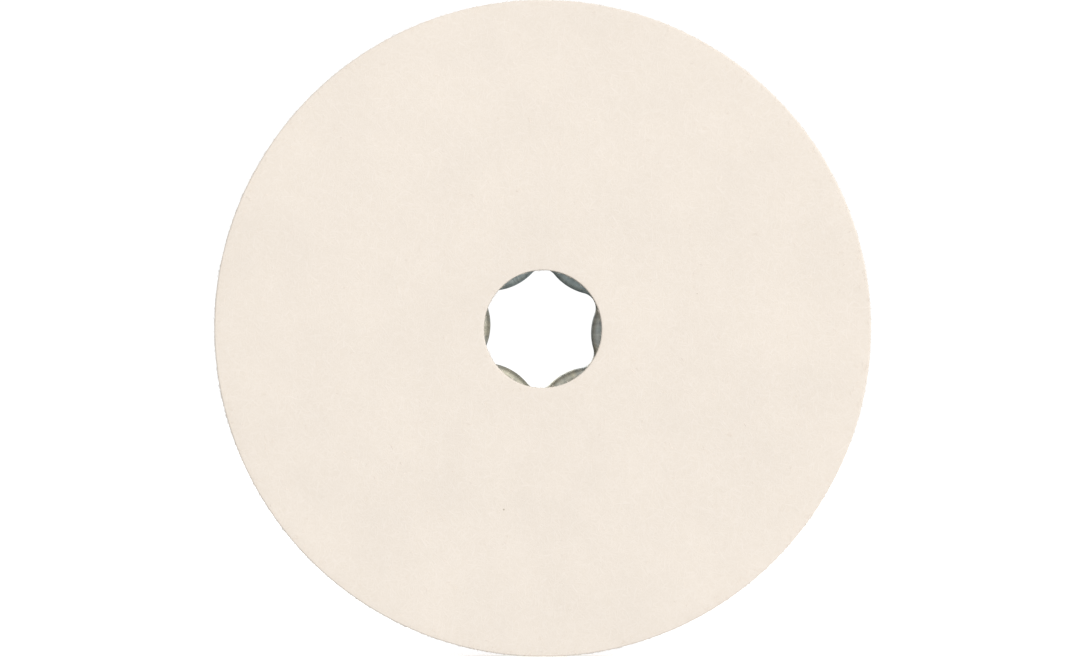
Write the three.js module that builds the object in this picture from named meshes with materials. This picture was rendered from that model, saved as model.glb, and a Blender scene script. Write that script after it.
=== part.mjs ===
// Felt polishing disc for a quick-change angle grinder, in millimetres.
//
// A disc of pressed wool felt is glued to a thin vulcanised-fibre backing. A drawn steel hub ring
// passes through the backing: its flange lies between the felt and the fibre, its six-lobed throat
// takes the tool's locking head, and its rear lip is rolled out over a pressed clamp ring.
//
// The disc turns about Y. The felt's working face looks along -Y, the side that faces the tool looks
// along +Y, and +Z is up. The origin is on the spin axis, halfway through the thickness.

import * as THREE from "three";

// Felt disc
const FELT_DIAMETER = 125;
const FELT_THICKNESS = 8;
const FELT_BORE = 22.5;
const FELT_ARRIS = 0.3; // radius of the worn corner round the working face
const FELT_CENTRE = { x: 0.37, z: 0.1 }; // how far off the spin axis the felt was glued
const BORE_CENTRE = { x: 0.39, z: -0.03 }; // centre of the punched bore, from the spin axis

// Adhesive film and fibre backing
const BOND_THICKNESS = 0.2;
const BOND_SETBACK = 1; // film's edge inside the fibre's rim
const FIBRE_THICKNESS = 0.8;
const FIBRE_SETBACK = 1; // fibre's rim inside the felt's rim

// Hub ring, drawn from one sheet
const HUB_SHEET = 1;
const HUB_BEND = 0.5; // inside radius of both bends
const HUB_TURN = -2.3; // degrees from +X to the middle of the first lug, towards +Z
const LOBE_COUNT = 6;
const LUG_RADIUS = 9.65; // spin axis to the crest of each lug
const LOBE_DEPTH = 1.85; // crest of a lug to the bottom of a lobe
const LOBE_ROUND = 2.9; // radius in the bottom of each lobe
const FLANGE_WIDTH = 7; // flat of the front flange, outside the lobes
const LIP_WIDTH = 2; // flat of the rolled rear lip, outside the lobes

// Clamp ring, pressed from one sheet
const CLAMP_SHEET = 1;
const CLAMP_BEND = 0.3; // inside radius of its bends
const SEAT_WIDTH = 3; // flat rear face that the tool's flange bears on

// Fits and mesh
const RADIAL_GAP = 0.3; // between pieces that slip over each other
const SEGMENTS = 96; // round the axis, a multiple of the lobe count
const BEND_STEPS = 4; // flats in a quarter turn of a bend

const FULL_TURN = 2 * Math.PI;
const QUARTER_TURN = Math.PI / 2;

// Levels along the axis, from the working face to the face that the tool bears on
const TOTAL_THICKNESS = FELT_THICKNESS + BOND_THICKNESS + FIBRE_THICKNESS + CLAMP_SHEET + HUB_SHEET;
const FELT_FRONT = -TOTAL_THICKNESS / 2;
const FELT_BACK = FELT_FRONT + FELT_THICKNESS;
const FIBRE_FRONT = FELT_BACK + BOND_THICKNESS;
const FIBRE_BACK = FIBRE_FRONT + FIBRE_THICKNESS;
const FLANGE_FRONT = FIBRE_FRONT - HUB_SHEET;
const SEAT_LEVEL = FIBRE_BACK + CLAMP_SHEET + HUB_SHEET;

// Radii that follow from the throat
const LOBE_RADIUS = LUG_RADIUS + LOBE_DEPTH;
const THROAT_OUTSIDE = LOBE_RADIUS + HUB_SHEET + HUB_BEND;
const FLANGE_RADIUS = THROAT_OUTSIDE + FLANGE_WIDTH;
const LIP_RADIUS = THROAT_OUTSIDE + LIP_WIDTH;
const HUB_HOLE_RADIUS = THROAT_OUTSIDE + RADIAL_GAP;
const POCKET_RADIUS = FLANGE_RADIUS + RADIAL_GAP;
const FIBRE_RADIUS = FELT_DIAMETER / 2 - FIBRE_SETBACK;

// Radius of the throat at an angle from the middle of a lug. Each lug is an arc that bulges towards
// the axis, each lobe an arc of LOBE_ROUND that bulges away from it, and the two arcs are tangent.
function throatRadius(angle) {
  const pitch = FULL_TURN / LOBE_COUNT;
  const fromLug = Math.abs(angle - pitch * Math.round(angle / pitch));
  const lobeCentre = LOBE_RADIUS - LOBE_ROUND;
  const near = LUG_RADIUS - LOBE_ROUND;
  const lugCentre =
    (near ** 2 - lobeCentre ** 2) / (2 * (near - lobeCentre * Math.cos(pitch / 2)));
  const lugRound = lugCentre - LUG_RADIUS;
  const share = lugRound / (lugRound + LOBE_ROUND);
  const tangentX = lugCentre + share * (lobeCentre * Math.cos(pitch / 2) - lugCentre);
  const tangentZ = share * lobeCentre * Math.sin(pitch / 2);
  if (fromLug <= Math.atan2(tangentZ, tangentX)) {
    const along = lugCentre * Math.cos(fromLug);
    return along - Math.sqrt(along ** 2 - lugCentre ** 2 + lugRound ** 2);
  }
  const along = lobeCentre * Math.cos(pitch / 2 - fromLug);
  return along + Math.sqrt(along ** 2 - lobeCentre ** 2 + LOBE_ROUND ** 2);
}

// A point of a section: its radius and level, the centre that its ring is turned about, and how far
// the ring follows the lobes, from 0 for a round ring to 1 for the throat itself.
function ringPoint(radius, level, centre = { x: 0, z: 0 }, lobed = 0) {
  return { radius, level, centre, lobed };
}

// A closed section turned about Y, with each ring moved to its centre and given its lobes.
function turned(section) {
  const closed = [...section, section[0]];
  const outline = closed.map((point) => new THREE.Vector2(point.radius, point.level));
  const geometry = new THREE.LatheGeometry(outline, SEGMENTS);
  const position = geometry.getAttribute("position");
  for (let i = 0; i < position.count; i += 1) {
    const point = closed[i % closed.length];
    const angle = Math.atan2(position.getZ(i), position.getX(i));
    const radius = point.radius + point.lobed * (throatRadius(angle) - LUG_RADIUS);
    position.setX(i, point.centre.x + radius * Math.cos(angle));
    position.setZ(i, point.centre.z + radius * Math.sin(angle));
  }
  geometry.computeVertexNormals();
  return geometry;
}

// The section of a bent sheet. The sheet's middle runs through the corners, each bend has the inside
// radius given, and every corner says how far it follows the lobes.
function sheetSection(corners, sheet, insideBend) {
  const middleBend = insideBend + sheet / 2;
  const rightSide = [];
  const leftSide = [];
  const addPair = (at, heading, lobed) => {
    const across = new THREE.Vector2(-Math.sin(heading), Math.cos(heading));
    const right = at.clone().addScaledVector(across, -sheet / 2);
    const left = at.clone().addScaledVector(across, sheet / 2);
    rightSide.push(ringPoint(right.x, right.y, undefined, lobed));
    leftSide.unshift(ringPoint(left.x, left.y, undefined, lobed));
  };
  const headings = corners.slice(1).map((corner, i) => corner.at.clone().sub(corners[i].at).angle());
  addPair(corners[0].at, headings[0], corners[0].lobed);
  for (let i = 1; i < corners.length - 1; i += 1) {
    let bend = headings[i] - headings[i - 1];
    bend -= FULL_TURN * Math.round(bend / FULL_TURN);
    const side = Math.sign(bend);
    const reach = middleBend * Math.tan(Math.abs(bend) / 2);
    const before = new THREE.Vector2(Math.cos(headings[i - 1]), Math.sin(headings[i - 1]));
    const start = corners[i].at.clone().addScaledVector(before, -reach);
    const across = new THREE.Vector2(-before.y, before.x);
    const centre = start.clone().addScaledVector(across, side * middleBend);
    const steps = Math.max(2, Math.round((BEND_STEPS * Math.abs(bend)) / QUARTER_TURN));
    for (let k = 0; k <= steps; k += 1) {
      const heading = headings[i - 1] + (bend * k) / steps;
      const out = new THREE.Vector2(Math.sin(heading), -Math.cos(heading));
      const at = centre.clone().addScaledVector(out, side * middleBend);
      addPair(at, heading, corners[i].lobed);
    }
  }
  const last = corners.length - 1;
  addPair(corners[last].at, headings[last - 1], corners[last].lobed);
  return [...rightSide, ...leftSide];
}

function corner(radius, level, lobed = 0) {
  return { at: new THREE.Vector2(radius, level), lobed };
}

function wool() {
  return new THREE.MeshStandardMaterial({ color: 0xf3e9dd, roughness: 1, metalness: 0 });
}

function contactAdhesive() {
  return new THREE.MeshStandardMaterial({ color: 0xc9a25a, roughness: 0.5, metalness: 0 });
}

function vulcanisedFibre() {
  return new THREE.MeshStandardMaterial({ color: 0x6b2f23, roughness: 0.6, metalness: 0 });
}

function zincPlatedSteel() {
  return new THREE.MeshStandardMaterial({ color: 0x9a9d98, roughness: 0.4, metalness: 1 });
}

// Felt: worn corner, working face, bore, and the pocket in its back that the hub's flange fills.
function feltDisc() {
  const rim = FELT_DIAMETER / 2;
  const section = [];
  for (let k = 0; k <= BEND_STEPS; k += 1) {
    const turn = (QUARTER_TURN * k) / BEND_STEPS;
    const radius = rim - FELT_ARRIS * (1 - Math.cos(turn));
    const level = FELT_FRONT + FELT_ARRIS * (1 - Math.sin(turn));
    section.unshift(ringPoint(radius, level, FELT_CENTRE));
  }
  section.push(ringPoint(rim, FELT_BACK, FELT_CENTRE));
  section.push(ringPoint(POCKET_RADIUS, FELT_BACK));
  section.push(ringPoint(POCKET_RADIUS, FLANGE_FRONT));
  section.push(ringPoint(FELT_BORE / 2, FLANGE_FRONT, BORE_CENTRE));
  section.push(ringPoint(FELT_BORE / 2, FELT_FRONT, BORE_CENTRE));
  return new THREE.Mesh(turned(section), wool());
}

// A flat washer between two levels.
function washer(innerRadius, outerRadius, front, back) {
  return turned([
    ringPoint(innerRadius, front),
    ringPoint(outerRadius, front),
    ringPoint(outerRadius, back),
    ringPoint(innerRadius, back),
  ]);
}

function bondLayer() {
  const outerRadius = FIBRE_RADIUS - BOND_SETBACK;
  return new THREE.Mesh(washer(POCKET_RADIUS, outerRadius, FELT_BACK, FIBRE_FRONT), contactAdhesive());
}

function fibreBacking() {
  const plate = washer(HUB_HOLE_RADIUS, FIBRE_RADIUS, FIBRE_FRONT, FIBRE_BACK);
  return new THREE.Mesh(plate, vulcanisedFibre());
}

// Hub ring: flange, throat and rolled lip. The throat and its bends follow the lobes in full, and
// the flange and the lip end round.
function hubRing() {
  const throat = LUG_RADIUS + HUB_SHEET / 2;
  const flangeLevel = FLANGE_FRONT + HUB_SHEET / 2;
  const lipLevel = SEAT_LEVEL - HUB_SHEET / 2;
  const section = sheetSection(
    [
      corner(LIP_RADIUS, lipLevel),
      corner(throat, lipLevel, 1),
      corner(throat, flangeLevel, 1),
      corner(FLANGE_RADIUS, flangeLevel),
    ],
    HUB_SHEET,
    HUB_BEND,
  );
  const mesh = new THREE.Mesh(turned(section), zincPlatedSteel());
  mesh.rotation.y = -THREE.MathUtils.degToRad(HUB_TURN);
  return mesh;
}

// Clamp ring: a foot on the fibre that the lip is rolled over, a step up to the seat, and a skirt
// turned back down to the fibre. The step rises by the lip's thickness, so lip and seat lie flush.
function clampRing() {
  const stepRise = HUB_SHEET;
  const stepReach = (CLAMP_BEND + CLAMP_SHEET / 2) * Math.tan(Math.PI / 8);
  const stepFoot = LIP_RADIUS + RADIAL_GAP + stepReach;
  const stepHead = stepFoot + stepRise;
  const skirt = stepHead + stepReach + SEAT_WIDTH + CLAMP_BEND + CLAMP_SHEET / 2;
  const footLevel = FIBRE_BACK + CLAMP_SHEET / 2;
  const seatLevel = SEAT_LEVEL - CLAMP_SHEET / 2;
  const section = sheetSection(
    [
      corner(skirt, FIBRE_BACK),
      corner(skirt, seatLevel),
      corner(stepHead, seatLevel),
      corner(stepFoot, footLevel),
      corner(HUB_HOLE_RADIUS, footLevel),
    ],
    CLAMP_SHEET,
    CLAMP_BEND,
  );
  return new THREE.Mesh(turned(section), zincPlatedSteel());
}

const wheel = new THREE.Group();
const subparts = {
  felt_disc: feltDisc(),
  bond_layer: bondLayer(),
  fibre_backing: fibreBacking(),
  hub_ring: hubRing(),
  clamp_ring: clampRing(),
};
for (const [name, mesh] of Object.entries(subparts)) {
  mesh.name = name;
  wheel.add(mesh);
}

export default wheel;
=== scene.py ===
import math

import bmesh
import bpy
import numpy as np
from bpy.props import FloatProperty, FloatVectorProperty, IntProperty, PointerProperty
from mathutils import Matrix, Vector, noise


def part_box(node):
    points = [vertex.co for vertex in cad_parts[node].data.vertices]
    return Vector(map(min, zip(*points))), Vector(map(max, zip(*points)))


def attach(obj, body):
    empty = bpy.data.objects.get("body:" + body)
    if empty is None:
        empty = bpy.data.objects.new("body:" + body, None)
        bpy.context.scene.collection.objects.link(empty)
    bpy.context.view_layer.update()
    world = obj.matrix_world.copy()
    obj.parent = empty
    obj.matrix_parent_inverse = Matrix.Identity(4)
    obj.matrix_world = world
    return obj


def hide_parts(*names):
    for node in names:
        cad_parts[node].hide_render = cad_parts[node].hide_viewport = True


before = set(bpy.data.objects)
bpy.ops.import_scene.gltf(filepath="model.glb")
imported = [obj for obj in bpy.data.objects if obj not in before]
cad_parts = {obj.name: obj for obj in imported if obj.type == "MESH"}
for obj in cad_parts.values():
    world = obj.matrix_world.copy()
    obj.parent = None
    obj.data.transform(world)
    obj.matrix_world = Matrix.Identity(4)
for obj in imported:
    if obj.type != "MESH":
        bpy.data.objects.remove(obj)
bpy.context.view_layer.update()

bl_info = {
    "name": "Felt Polishing Disc",
    "version": (1, 0, 0),
    "blender": (4, 5, 0),
    "location": "3D View > Sidebar > Felt Disc",
    "description": "A pressed-felt polishing disc on a fibre backing with a six-lobed steel hub",
    "category": "Object",
}

# The disc turns about Y. Its felt faces -Y, the side that the tool bears on faces +Y, and +Z is up.

MM = 0.001
FULL_TURN = 2 * math.pi
QUARTER_TURN = math.pi / 2
BODY = "root"
AXIS = (0.0, 0.0)
WHITE = (1.0, 1.0, 1.0, 1.0)

# A ring of a CAD section lies within SAME_LEVEL of its level. HUB_REACH is a distance from the axis
# past the hub and short of the rim, and RIM_REACH one past the rim.
SAME_LEVEL = 0.01 * MM
HUB_REACH = 40 * MM
RIM_REACH = 90 * MM


# ---------------------------------------------------------------- sizes read from the frame


def points_of(mesh):
    """The points of a mesh, as an array of x, y and z."""
    flat = np.empty(3 * len(mesh.vertices))
    mesh.vertices.foreach_get("co", flat)
    return flat.reshape(-1, 3)


def ring_at(node, level, within=RIM_REACH):
    """Centre and radius of the widest ring of a CAD node at a level, within a distance."""
    points = points_of(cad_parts[node].data)
    distance = np.hypot(points[:, 0], points[:, 2])
    on_ring = (abs(points[:, 1] - level) < SAME_LEVEL) & (distance < within)
    low = points[on_ring].min(axis=0)
    high = points[on_ring].max(axis=0)
    centre = (low + high) / 2
    return (float(centre[0]), float(centre[2])), float(high[0] - low[0]) / 2


def throat_sizes(node):
    """Radius to the lugs, depth of the lobes, and the turn from +X to the lug nearest to it."""
    points = points_of(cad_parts[node].data)
    radius = np.hypot(points[:, 0], points[:, 2])
    angle = np.arctan2(points[:, 2], points[:, 0])
    lug_radius = radius.min()
    near_x = abs(angle) < math.radians(30)
    turn = angle[near_x][radius[near_x].argmin()]
    degree = np.round(angle / math.radians(1)).astype(int)
    inside = [radius[degree == d].min() for d in np.unique(degree)]
    return float(lug_radius), float(max(inside) - lug_radius), float(turn)


FELT_LOW, FELT_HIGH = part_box("felt_disc")
BOND_LOW, BOND_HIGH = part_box("bond_layer")
FIBRE_LOW, FIBRE_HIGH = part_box("fibre_backing")
HUB_LOW, HUB_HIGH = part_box("hub_ring")
CLAMP_LOW, CLAMP_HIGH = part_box("clamp_ring")

FELT_CENTRE, FELT_RADIUS = ring_at("felt_disc", FELT_HIGH.y)
BORE_CENTRE, BORE_RADIUS = ring_at("felt_disc", FELT_LOW.y, HUB_REACH)
POCKET_RADIUS = ring_at("felt_disc", FELT_HIGH.y, HUB_REACH)[1]
FLAT_RADIUS = ring_at("felt_disc", FELT_LOW.y)[1]
BOND_RADIUS = ring_at("bond_layer", BOND_LOW.y)[1]
FIBRE_RADIUS = ring_at("fibre_backing", FIBRE_LOW.y)[1]
HUB_HOLE_RADIUS = ring_at("fibre_backing", FIBRE_LOW.y, HUB_REACH)[1]
FLANGE_RADIUS = ring_at("hub_ring", HUB_LOW.y)[1]
LIP_RADIUS = ring_at("hub_ring", HUB_HIGH.y)[1]
LUG_RADIUS, LOBE_DEPTH, HUB_TURN = throat_sizes("hub_ring")


# ---------------------------------------------------------------- colours and nodes


def colour(code):
    """Linear colour of an sRGB hex value."""
    parts = [int(code[i : i + 2], 16) / 255 for i in (1, 3, 5)]
    return (*(p / 12.92 if p <= 0.04045 else ((p + 0.055) / 1.055) ** 2.4 for p in parts), 1.0)


def shaded(base, factor):
    """A colour made darker or lighter by a factor."""
    return (*(min(1.0, part * factor) for part in base[:3]), 1.0)


# Mix and Random Value nodes have sockets that share a name, so these are reached by number.
SHARE, UNDER, OVER, MIXED = 0, 6, 7, 2
RANDOM_VECTOR, RANDOM_NUMBER = 0, 1


def add(tree, kind, settings=None, inputs=None, stops=()):
    """Adds a node to a tree, makes its settings, fills or links its inputs, and places the stops of
    a colour ramp, each a position and a colour."""
    node = tree.nodes.new(kind)
    for name, value in (settings or {}).items():
        setattr(node, name, value)
    for name, given in (inputs or {}).items():
        for value in given if isinstance(given, list) else [given]:
            if isinstance(value, bpy.types.Node):
                value = value.outputs[0]
            if isinstance(value, bpy.types.NodeSocket):
                tree.links.new(value, node.inputs[name])
            else:
                node.inputs[name].default_value = value
    for k, (position, value) in enumerate(stops):
        elements = node.color_ramp.elements
        stop = elements[k] if k < len(elements) else elements.new(position)
        stop.position = position
        stop.color = value
    return node


def new_material(name):
    """An empty node material, with its tree."""
    material = bpy.data.materials.new(name)
    material.use_nodes = True
    material.node_tree.nodes.clear()
    return material, material.node_tree


# ---------------------------------------------------------------- materials


# Bits of burr in the felt: right of and above the felt's centre, and radius, in mm.
FLECKS = ((-7.4, -34.5, 0.2), (29.4, 6.6, 0.1))


def pressed_wool_felt(size):
    """Pressed wool felt: white wool matted and pressed hard. It is dead matt, nearly even in
    colour, and covered in short fibres that lie in every direction across the face and in flat
    layers round the rim."""
    material, tree = new_material("pressed_wool_felt")
    place = add(tree, "ShaderNodeTexCoord").outputs["Object"]
    # Wool is about 0.03 mm thick. Its fibres are drawn 0.25 mm thick so that they can be seen, and
    # lie in layers 0.35 mm thick.
    fibre_width = 0.25 * MM
    layer_height = 0.35 * MM
    fibre_length = 2.8 * MM
    # Felted fibres curl. Their places wander by up to 1.6 mm, in bends about 3 mm long.
    bend_length = 3 * MM
    wander = 1.6 * MM
    curl = add(tree, "ShaderNodeTexNoise", None, {
        "Vector": place, "Scale": 1 / bend_length, "Detail": 1.0,
    })
    curled = add(tree, "ShaderNodeVectorMath", {"operation": "MULTIPLY_ADD"}, {
        0: curl.outputs["Color"], 1: (wander, wander, wander), 2: place,
    })
    fibres = None
    for turn in (6, 51, 98, 143):
        laid = add(tree, "ShaderNodeMapping", {"vector_type": "TEXTURE"}, {
            "Vector": curled,
            "Rotation": (0, math.radians(turn), 0),
            "Scale": (fibre_length, layer_height, fibre_width),
        })
        strand = add(tree, "ShaderNodeTexNoise", None, {
            "Vector": laid, "Scale": 1.0, "Detail": 3.0, "Roughness": 0.6, "Distortion": 0.35,
        })
        if fibres is None:
            fibres = strand
        else:
            fibres = add(tree, "ShaderNodeMath", {"operation": "MAXIMUM"}, {0: fibres, 1: strand})
    # The wool is packed unevenly, in clumps about 14 mm across, with pores 0.8 mm across.
    clump_size = 14 * MM
    pore_size = 0.8 * MM
    clumps = add(tree, "ShaderNodeTexNoise", None, {
        "Vector": place, "Scale": 1 / clump_size, "Detail": 3.0, "Roughness": 0.55,
    })
    pores = add(tree, "ShaderNodeTexNoise", None, {
        "Vector": place, "Scale": 1 / pore_size, "Detail": 4.0, "Roughness": 0.65,
    })
    tone = add(tree, "ShaderNodeValToRGB", None, {"Fac": clumps}, [
        (0.3, shaded(size.colour, 0.975)), (0.7, shaded(size.colour, 1.012)),
    ])
    strand_tone = add(tree, "ShaderNodeValToRGB", None, {"Fac": fibres}, [
        (0.5, colour("#f5f3ef")), (0.76, colour("#ffffff")),
    ])
    wool = add(tree, "ShaderNodeMix", {"data_type": "RGBA", "blend_type": "MULTIPLY"}, {
        SHARE: 0.7, UNDER: tone, OVER: strand_tone,
    }).outputs[MIXED]
    # Two bits of burr were carded into the wool and lie darker in the face.
    for right, up, radius in FLECKS:
        middle = (FELT_CENTRE[0] + right * MM, FELT_LOW.y, FELT_CENTRE[1] + up * MM)
        spot = add(tree, "ShaderNodeVectorMath", {"operation": "DISTANCE"}, {0: place, 1: middle})
        ragged = add(tree, "ShaderNodeMath", {"operation": "MULTIPLY_ADD"}, {
            0: fibres, 1: -radius * MM, 2: spot.outputs["Value"],
        })
        mask = add(tree, "ShaderNodeMapRange", {"interpolation_type": "SMOOTHSTEP"}, {
            "Value": ragged,
            "From Min": 0.0, "From Max": 0.5 * radius * MM,
            "To Min": 1.0, "To Max": 0.0,
        })
        wool = add(tree, "ShaderNodeMix", {"data_type": "RGBA"}, {
            SHARE: mask, UNDER: wool, OVER: colour("#b3a998"),
        }).outputs[MIXED]
    height = add(tree, "ShaderNodeMath", {"operation": "MULTIPLY_ADD"}, {
        0: pores, 1: 0.5, 2: fibres,
    })
    bump = add(tree, "ShaderNodeBump", None, {
        "Height": height, "Strength": 0.35, "Distance": 0.12 * MM,
    })
    surface = add(tree, "ShaderNodeBsdfPrincipled", None, {
        "Base Color": wool, "Roughness": 0.93, "IOR": 1.45, "Specular IOR Level": 0.25,
        "Sheen Weight": 0.12, "Sheen Roughness": 0.5, "Normal": bump,
    })
    add(tree, "ShaderNodeOutputMaterial", None, {"Surface": surface})
    return material


def loose_wool(size):
    """Single wool fibres: the same white wool as the felt, painted a little lighter in tufts
    against the shade on their thin sides, and with more sheen.
    """
    material, tree = new_material("loose_wool_fibre")
    place = add(tree, "ShaderNodeTexCoord").outputs["Object"]
    tuft_size = 3 * MM
    shade = add(tree, "ShaderNodeTexNoise", None, {
        "Vector": place, "Scale": 1 / tuft_size, "Detail": 2.0,
    })
    # Painted light: the fibres are painted up to 12% lighter than the felt, in tufts, so that the
    # shade on their thin sides does not show them darker.
    tone = add(tree, "ShaderNodeValToRGB", None, {"Fac": shade}, [
        (0.35, tuple(size.colour)), (0.65, shaded(size.colour, 1.12)),
    ])
    surface = add(tree, "ShaderNodeBsdfPrincipled", None, {
        "Base Color": tone, "Roughness": 0.85, "Sheen Weight": 0.2,
    })
    add(tree, "ShaderNodeOutputMaterial", None, {"Surface": surface})
    return material


def contact_adhesive(size):
    """Contact adhesive: a thin amber rubber film, darker where it is thick, and glossy where it has
    squeezed out."""
    material, tree = new_material("contact_adhesive")
    place = add(tree, "ShaderNodeTexCoord").outputs["Object"]
    pool_size = 2.5 * MM
    shade = add(tree, "ShaderNodeTexNoise", None, {
        "Vector": place, "Scale": 1 / pool_size, "Detail": 3.0,
    })
    tone = add(tree, "ShaderNodeValToRGB", None, {"Fac": shade}, [
        (0.35, shaded(size.adhesive, 0.7)), (0.65, tuple(size.adhesive)),
    ])
    surface = add(tree, "ShaderNodeBsdfPrincipled", None, {
        "Base Color": tone, "Roughness": 0.35, "IOR": 1.52,
    })
    add(tree, "ShaderNodeOutputMaterial", None, {"Surface": surface})
    return material


def vulcanised_fibre(size):
    """Vulcanised fibre: cotton paper gelled and rolled into a hard board. It is deep red-brown with
    a low shine, a faint paper grain that runs one way, and small rubbed patches."""
    material, tree = new_material("vulcanised_fibre")
    place = add(tree, "ShaderNodeTexCoord").outputs["Object"]
    # Paper grain is about 0.1 mm wide and is drawn 0.3 mm wide so that it can be seen.
    grain_width = 0.3 * MM
    grain_length = 5 * MM
    cloud_size = 18 * MM
    grain_place = add(tree, "ShaderNodeMapping", {"vector_type": "TEXTURE"}, {
        "Vector": place,
        "Rotation": (0, math.radians(24), 0),
        "Scale": (grain_length, grain_width, grain_width),
    })
    grain = add(tree, "ShaderNodeTexNoise", None, {
        "Vector": grain_place, "Scale": 1.0, "Detail": 4.0, "Roughness": 0.65,
    })
    cloud = add(tree, "ShaderNodeTexNoise", None, {
        "Vector": place, "Scale": 1 / cloud_size, "Detail": 5.0, "Roughness": 0.6,
    })
    tone = add(tree, "ShaderNodeValToRGB", None, {"Fac": cloud}, [
        (0.3, shaded(size.colour, 0.86)), (0.72, shaded(size.colour, 1.14)),
    ])
    streak = add(tree, "ShaderNodeValToRGB", None, {"Fac": grain}, [
        (0.35, (0.78, 0.74, 0.72, 1)), (0.65, (1.1, 1.1, 1.1, 1)),
    ])
    board = add(tree, "ShaderNodeMix", {"data_type": "RGBA", "blend_type": "MULTIPLY"}, {
        SHARE: 0.8, UNDER: tone, OVER: streak,
    })
    rough = add(tree, "ShaderNodeMapRange", None, {
        "Value": cloud, "From Min": 0.3, "From Max": 0.7, "To Min": 0.42, "To Max": 0.6,
    })
    bump = add(tree, "ShaderNodeBump", None, {
        "Height": grain, "Strength": 0.25, "Distance": 0.05 * MM,
    })
    surface = add(tree, "ShaderNodeBsdfPrincipled", None, {
        "Base Color": board.outputs[MIXED], "Roughness": rough, "IOR": 1.5, "Normal": bump,
    })
    add(tree, "ShaderNodeOutputMaterial", None, {"Surface": surface})
    return material


def zinc_plated_steel(size):
    """Zinc-plated sheet steel: pressed, barrel plated and passivated. It is a soft grey metal with
    a faint blue and straw tint in patches, fine drawing marks round the axis, and a slightly
    mottled shine. Its lower side is painted lighter and more straw and its upper side darker and
    more blue, as a painted reflection of the lit felt."""
    material, tree = new_material("zinc_plated_steel")
    place = add(tree, "ShaderNodeTexCoord").outputs["Object"]
    apart = add(tree, "ShaderNodeSeparateXYZ", None, {"Vector": place})
    flat = add(tree, "ShaderNodeCombineXYZ", None, {
        "X": apart.outputs["X"], "Z": apart.outputs["Z"],
    })
    reach = add(tree, "ShaderNodeVectorMath", {"operation": "LENGTH"}, {0: flat}).outputs["Value"]
    turn = add(tree, "ShaderNodeMath", {"operation": "ARCTAN2"}, {
        0: apart.outputs["Z"], 1: apart.outputs["X"],
    })
    # Drawing marks are a few hundredths of a millimetre apart and are drawn 0.12 mm apart. Round
    # the axis they are stretched to many times that.
    mark_spacing = 0.12 * MM
    along = add(tree, "ShaderNodeMath", {"operation": "MULTIPLY"}, {0: turn, 1: 0.4 * MM})
    round_axis = add(tree, "ShaderNodeCombineXYZ", None, {
        "X": reach, "Y": apart.outputs["Y"], "Z": along,
    })
    marks = add(tree, "ShaderNodeTexNoise", None, {
        "Vector": round_axis, "Scale": 1 / mark_spacing, "Detail": 3.0, "Roughness": 0.6,
    })
    # Where the sheet slid over the die, the plating shows light and dark streaks that run from the
    # flange through the throat. They drift a little on the way, and fade towards the lip.
    streak_width = 0.9 * MM
    outward = add(tree, "ShaderNodeVectorMath", {"operation": "NORMALIZE"}, {0: flat})
    drift = add(tree, "ShaderNodeVectorMath", {"operation": "SCALE"}, {0: place, "Scale": 0.12})
    spoke = add(tree, "ShaderNodeVectorMath", {"operation": "MULTIPLY_ADD"}, {
        0: outward, 1: (LUG_RADIUS, 0, LUG_RADIUS), 2: drift,
    })
    streaks = add(tree, "ShaderNodeTexNoise", None, {
        "Vector": spoke, "Scale": 1 / streak_width, "Detail": 4.0, "Roughness": 0.65,
    })
    worn = add(tree, "ShaderNodeValToRGB", None, {"Fac": streaks}, [
        (0.3, (0.68, 0.7, 0.71, 1)), (0.7, (1.18, 1.17, 1.15, 1)),
    ])
    drawn = add(tree, "ShaderNodeMapRange", None, {
        "Value": reach,
        "From Min": LUG_RADIUS + 2 * LOBE_DEPTH, "From Max": LIP_RADIUS,
        "To Min": 1.0, "To Max": 0.35,
    })
    # Painted reflection: the lower side, which faces up to the lit cream felt, is painted lighter
    # and more straw, and the upper side darker and more blue.
    stain_size = 6 * MM
    painted_reflection_side = add(tree, "ShaderNodeVectorMath", {"operation": "DOT_PRODUCT"}, {
        0: outward, 1: (-0.45, 0.0, -0.89),
    })
    mottle = add(tree, "ShaderNodeTexNoise", None, {
        "Vector": place, "Scale": 1 / stain_size, "Detail": 3.0, "Roughness": 0.6,
        "Distortion": 0.4,
    })
    # Random patches of straw and blue plating tint, with the painted reflection of the felt added
    # on.
    tint = add(tree, "ShaderNodeMath", {"operation": "MULTIPLY_ADD"}, {
        0: painted_reflection_side.outputs["Value"], 1: 0.2, 2: mottle,
    })
    plate = add(tree, "ShaderNodeValToRGB", None, {"Fac": tint}, [
        (0.34, colour("#9aa6a7")), (0.5, tuple(size.colour)), (0.66, colour("#adaa9b")),
    ])
    plated = add(tree, "ShaderNodeMix", {"data_type": "RGBA", "blend_type": "MULTIPLY"}, {
        SHARE: drawn, UNDER: plate, OVER: worn,
    })
    # Zinc crystals are far finer than this. The mottled shine is drawn in patches 0.5 mm across.
    patch_size = 0.5 * MM
    spangle = add(tree, "ShaderNodeTexNoise", None, {
        "Vector": place, "Scale": 1 / patch_size, "Detail": 4.0, "Roughness": 0.7,
    })
    rough = add(tree, "ShaderNodeMapRange", None, {
        "Value": spangle, "From Min": 0.3, "From Max": 0.7, "To Min": 0.46, "To Max": 0.6,
    })
    height = add(tree, "ShaderNodeMath", {"operation": "MULTIPLY_ADD"}, {
        0: spangle, 1: 0.5, 2: marks,
    })
    bump = add(tree, "ShaderNodeBump", None, {
        "Height": height, "Strength": 0.3, "Distance": 0.03 * MM,
    })
    surface = add(tree, "ShaderNodeBsdfPrincipled", None, {
        "Base Color": plated.outputs[MIXED], "Metallic": 1.0, "Roughness": rough, "Normal": bump,
    })
    add(tree, "ShaderNodeOutputMaterial", None, {"Surface": surface})
    return material


# ---------------------------------------------------------------- shapes


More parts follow.
